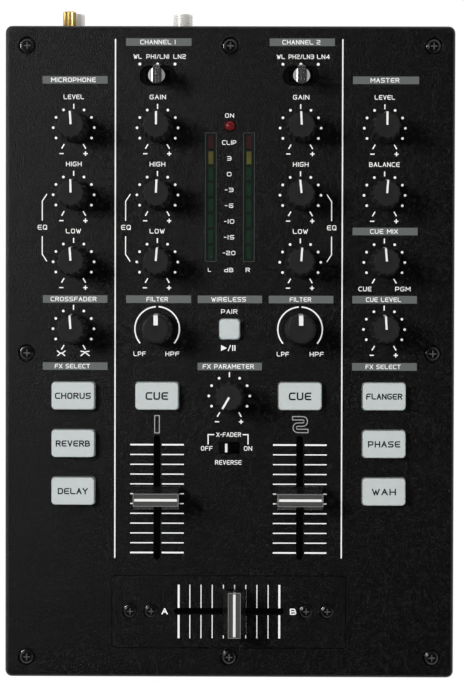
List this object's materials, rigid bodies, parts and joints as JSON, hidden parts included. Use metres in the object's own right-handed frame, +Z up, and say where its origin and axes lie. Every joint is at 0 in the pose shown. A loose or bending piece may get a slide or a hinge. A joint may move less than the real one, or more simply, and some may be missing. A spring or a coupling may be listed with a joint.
{
  "type": "dj mixer",
  "caption": "Desktop DJ mixer: black steel case with rotary knobs, channel faders, a crossfader, effect buttons, source toggles and a level meter.",
  "frame": {"origin": "middle of the bounding box, on the surface that the feet stand on", "axes": "+X to the right, +Y to the rear where the sockets are, +Z up"},
  "size_m": [0.202, 0.3044, 0.082],
  "materials": {
    "top_cover": "black powder coat",
    "bottom_tray": "black powder coat",
    "cover_screws": "black oxide",
    "feet": "matte",
    "crossfader_plate": "black powder coat",
    "crossfader_plate_screws": "black oxide",
    "main_board": "green solder mask",
    "jack_board": "green solder mask",
    "board_screws": "zinc plated",
    "rotary_pots": "moulded",
    "channel_fader_tracks": "zinc plated",
    "crossfader_track": "zinc plated",
    "toggle_switches": "moulded",
    "tact_switches": "moulded",
    "slide_switch_body": "zinc plated",
    "meter_windows": "smoked, translucent",
    "indicator_leds": "tinted light bars",
    "ground_post": "gold plated",
    "ground_nut": "gold plated",
    "phone_jacks": "nickel plated",
    "jack_nuts": "nickel plated",
    "phono_blocks": "moulded",
    "phono_sleeves": "nickel plated",
    "dc_inlet": "moulded",
    "rocker_frame": "moulded",
    "power_rocker": "moulded",
    "ribbon_cables": "grey ribbon",
    "wireless_module": "tin plated shield",
    "knob": "soft matte, white pointer line",
    "toggle": "polished chrome",
    "button": "light grey, backlit",
    "fader_cap": "glossy skirt, grey ridge, white line",
    "reverse_slider": "moulded, white mark"
  },
  "bodies": {
    "chassis": {"top_cover": "top_cover", "bottom_tray": "bottom_tray", "cover_screws": "cover_screws", "feet": "feet", "crossfader_plate": "crossfader_plate", "crossfader_plate_screws": "crossfader_plate_screws", "main_board": "main_board", "board_screws": "board_screws", "rotary_pots": "rotary_pots", "channel_fader_tracks": "channel_fader_tracks", "crossfader_track": "crossfader_track", "toggle_switches": "toggle_switches", "tact_switches": "tact_switches", "slide_switch_body": "slide_switch_body", "meter_windows": "meter_windows", "indicator_leds": "indicator_leds", "ground_post": "ground_post", "phone_jacks": "phone_jacks", "jack_nuts": "jack_nuts", "phono_blocks": "phono_blocks", "phono_sleeves": "phono_sleeves", "dc_inlet": "dc_inlet", "rocker_frame": "rocker_frame", "jack_board": "jack_board", "ribbon_cables": "ribbon_cables", "wireless_module": "wireless_module"},
    "mic_level": {"mic_level_knob": "knob"},
    "mic_high": {"mic_high_knob": "knob"},
    "mic_low": {"mic_low_knob": "knob"},
    "crossfader_curve": {"crossfader_curve_knob": "knob"},
    "channel_1_gain": {"channel_1_gain_knob": "knob"},
    "channel_1_high": {"channel_1_high_knob": "knob"},
    "channel_1_low": {"channel_1_low_knob": "knob"},
    "filter_1": {"filter_1_knob": "knob"},
    "channel_2_gain": {"channel_2_gain_knob": "knob"},
    "channel_2_high": {"channel_2_high_knob": "knob"},
    "channel_2_low": {"channel_2_low_knob": "knob"},
    "filter_2": {"filter_2_knob": "knob"},
    "master_level": {"master_level_knob": "knob"},
    "balance": {"balance_knob": "knob"},
    "cue_mix": {"cue_mix_knob": "knob"},
    "cue_level": {"cue_level_knob": "knob"},
    "effect_amount": {"effect_amount_knob": "knob"},
    "source_1": {"channel_1_toggle": "toggle"},
    "source_2": {"channel_2_toggle": "toggle"},
    "chorus_button": {"chorus_button": "button"},
    "reverb_button": {"reverb_button": "button"},
    "delay_button": {"delay_button": "button"},
    "flanger_button": {"flanger_button": "button"},
    "phase_button": {"phase_button": "button"},
    "wah_button": {"wah_button": "button"},
    "cue_1_button": {"cue_1_button": "button"},
    "cue_2_button": {"cue_2_button": "button"},
    "pair_button": {"pair_button": "button"},
    "fader_1": {"channel_1_fader": "fader_cap"},
    "fader_2": {"channel_2_fader": "fader_cap"},
    "crossfader": {"crossfader_cap": "fader_cap"},
    "crossfader_reverse": {"reverse_slider": "reverse_slider"},
    "ground_terminal_nut": {"ground_nut": "ground_nut"},
    "power_switch": {"power_rocker": "power_rocker"}
  },
  "joints": [
    {"name": "mic_level_turn", "type": "hinge", "parent": "chassis", "child": "mic_level", "pos_m": [-0.0702, 0.09695, 0.067], "axis": [0, 0, 1], "range_deg": [-154, 146]},
    {"name": "mic_high_turn", "type": "hinge", "parent": "chassis", "child": "mic_high", "pos_m": [-0.0702, 0.06688, 0.067], "axis": [0, 0, 1], "range_deg": [-151, 149]},
    {"name": "mic_low_turn", "type": "hinge", "parent": "chassis", "child": "mic_low", "pos_m": [-0.0702, 0.03681, 0.067], "axis": [0, 0, 1], "range_deg": [-154, 146]},
    {"name": "crossfader_curve_turn", "type": "hinge", "parent": "chassis", "child": "crossfader_curve", "pos_m": [-0.0702, 0.00674, 0.067], "axis": [0, 0, 1], "range_deg": [-154, 146]},
    {"name": "channel_1_gain_turn", "type": "hinge", "parent": "chassis", "child": "channel_1_gain", "pos_m": [-0.0326, 0.09695, 0.067], "axis": [0, 0, 1], "range_deg": [-150, 150]},
    {"name": "channel_1_high_turn", "type": "hinge", "parent": "chassis", "child": "channel_1_high", "pos_m": [-0.0326, 0.06688, 0.067], "axis": [0, 0, 1], "range_deg": [-147, 153]},
    {"name": "channel_1_low_turn", "type": "hinge", "parent": "chassis", "child": "channel_1_low", "pos_m": [-0.0326, 0.03681, 0.067], "axis": [0, 0, 1], "range_deg": [-145, 155]},
    {"name": "filter_1_turn", "type": "hinge", "parent": "chassis", "child": "filter_1", "pos_m": [-0.0326, 0.00674, 0.067], "axis": [0, 0, 1], "range_deg": [-150, 150]},
    {"name": "channel_2_gain_turn", "type": "hinge", "parent": "chassis", "child": "channel_2_gain", "pos_m": [0.0316, 0.09695, 0.067], "axis": [0, 0, 1], "range_deg": [-152.5, 147.5]},
    {"name": "channel_2_high_turn", "type": "hinge", "parent": "chassis", "child": "channel_2_high", "pos_m": [0.0316, 0.06688, 0.067], "axis": [0, 0, 1], "range_deg": [-156, 144]},
    {"name": "channel_2_low_turn", "type": "hinge", "parent": "chassis", "child": "channel_2_low", "pos_m": [0.0316, 0.03681, 0.067], "axis": [0, 0, 1], "range_deg": [-146.5, 153.5]},
    {"name": "filter_2_turn", "type": "hinge", "parent": "chassis", "child": "filter_2", "pos_m": [0.0316, 0.00674, 0.067], "axis": [0, 0, 1], "range_deg": [-150, 150]},
    {"name": "master_level_turn", "type": "hinge", "parent": "chassis", "child": "master_level", "pos_m": [0.0693, 0.09695, 0.067], "axis": [0, 0, 1], "range_deg": [-150, 150]},
    {"name": "balance_turn", "type": "hinge", "parent": "chassis", "child": "balance", "pos_m": [0.0693, 0.06688, 0.067], "axis": [0, 0, 1], "range_deg": [-146, 154]},
    {"name": "cue_mix_turn", "type": "hinge", "parent": "chassis", "child": "cue_mix", "pos_m": [0.0693, 0.03681, 0.067], "axis": [0, 0, 1], "range_deg": [-155, 145]},
    {"name": "cue_level_turn", "type": "hinge", "parent": "chassis", "child": "cue_level", "pos_m": [0.0693, 0.00674, 0.067], "axis": [0, 0, 1], "range_deg": [-153.5, 146.5]},
    {"name": "effect_amount_turn", "type": "hinge", "parent": "chassis", "child": "effect_amount", "pos_m": [-0.0001, -0.0233, 0.067], "axis": [0, 0, 1], "range_deg": [-300, 0]},
    {"name": "source_1_select", "type": "hinge", "parent": "chassis", "child": "source_1", "pos_m": [-0.0326, 0.1204, 0.0625], "axis": [0, 1, 0], "range_deg": [-12, 12]},
    {"name": "source_2_select", "type": "hinge", "parent": "chassis", "child": "source_2", "pos_m": [0.0316, 0.1204, 0.0625], "axis": [0, 1, 0], "range_deg": [-12, 12]},
    {"name": "chorus_button_press", "type": "slide", "parent": "chassis", "child": "chorus_button", "axis": [0, 0, -1], "range_m": [0, 0.0012], "stiffness_N_per_m": 400, "springref_m": -0.0005},
    {"name": "reverb_button_press", "type": "slide", "parent": "chassis", "child": "reverb_button", "axis": [0, 0, -1], "range_m": [0, 0.0012], "stiffness_N_per_m": 400, "springref_m": -0.0005},
    {"name": "delay_button_press", "type": "slide", "parent": "chassis", "child": "delay_button", "axis": [0, 0, -1], "range_m": [0, 0.0012], "stiffness_N_per_m": 400, "springref_m": -0.0005},
    {"name": "flanger_button_press", "type": "slide", "parent": "chassis", "child": "flanger_button", "axis": [0, 0, -1], "range_m": [0, 0.0012], "stiffness_N_per_m": 400, "springref_m": -0.0005},
    {"name": "phase_button_press", "type": "slide", "parent": "chassis", "child": "phase_button", "axis": [0, 0, -1], "range_m": [0, 0.0012], "stiffness_N_per_m": 400, "springref_m": -0.0005},
    {"name": "wah_button_press", "type": "slide", "parent": "chassis", "child": "wah_button", "axis": [0, 0, -1], "range_m": [0, 0.0012], "stiffness_N_per_m": 400, "springref_m": -0.0005},
    {"name": "cue_1_button_press", "type": "slide", "parent": "chassis", "child": "cue_1_button", "axis": [0, 0, -1], "range_m": [0, 0.0012], "stiffness_N_per_m": 400, "springref_m": -0.0005},
    {"name": "cue_2_button_press", "type": "slide", "parent": "chassis", "child": "cue_2_button", "axis": [0, 0, -1], "range_m": [0, 0.0012], "stiffness_N_per_m": 400, "springref_m": -0.0005},
    {"name": "pair_button_press", "type": "slide", "parent": "chassis", "child": "pair_button", "axis": [0, 0, -1], "range_m": [0, 0.0012], "stiffness_N_per_m": 400, "springref_m": -0.0005},
    {"name": "fader_1_slide", "type": "slide", "parent": "chassis", "child": "fader_1", "axis": [0, 1, 0], "range_m": [-0.025, 0.025]},
    {"name": "fader_2_slide", "type": "slide", "parent": "chassis", "child": "fader_2", "axis": [0, 1, 0], "range_m": [-0.025, 0.025]},
    {"name": "crossfader_slide", "type": "slide", "parent": "chassis", "child": "crossfader", "axis": [1, 0, 0], "range_m": [-0.025, 0.02]},
    {"name": "crossfader_reverse_slide", "type": "slide", "parent": "chassis", "child": "crossfader_reverse", "axis": [1, 0, 0], "range_m": [0, 0.004]},
    {"name": "ground_nut_turn", "type": "hinge", "parent": "chassis", "child": "ground_terminal_nut", "pos_m": [-0.0735, 0.1428, 0.052], "axis": [0, 1, 0], "continuous": true},
    {"name": "power_rock", "type": "hinge", "parent": "chassis", "child": "power_switch", "pos_m": [0.0805, 0.1393, 0.035], "axis": [1, 0, 0], "range_deg": [-16, 0]}
  ]
}
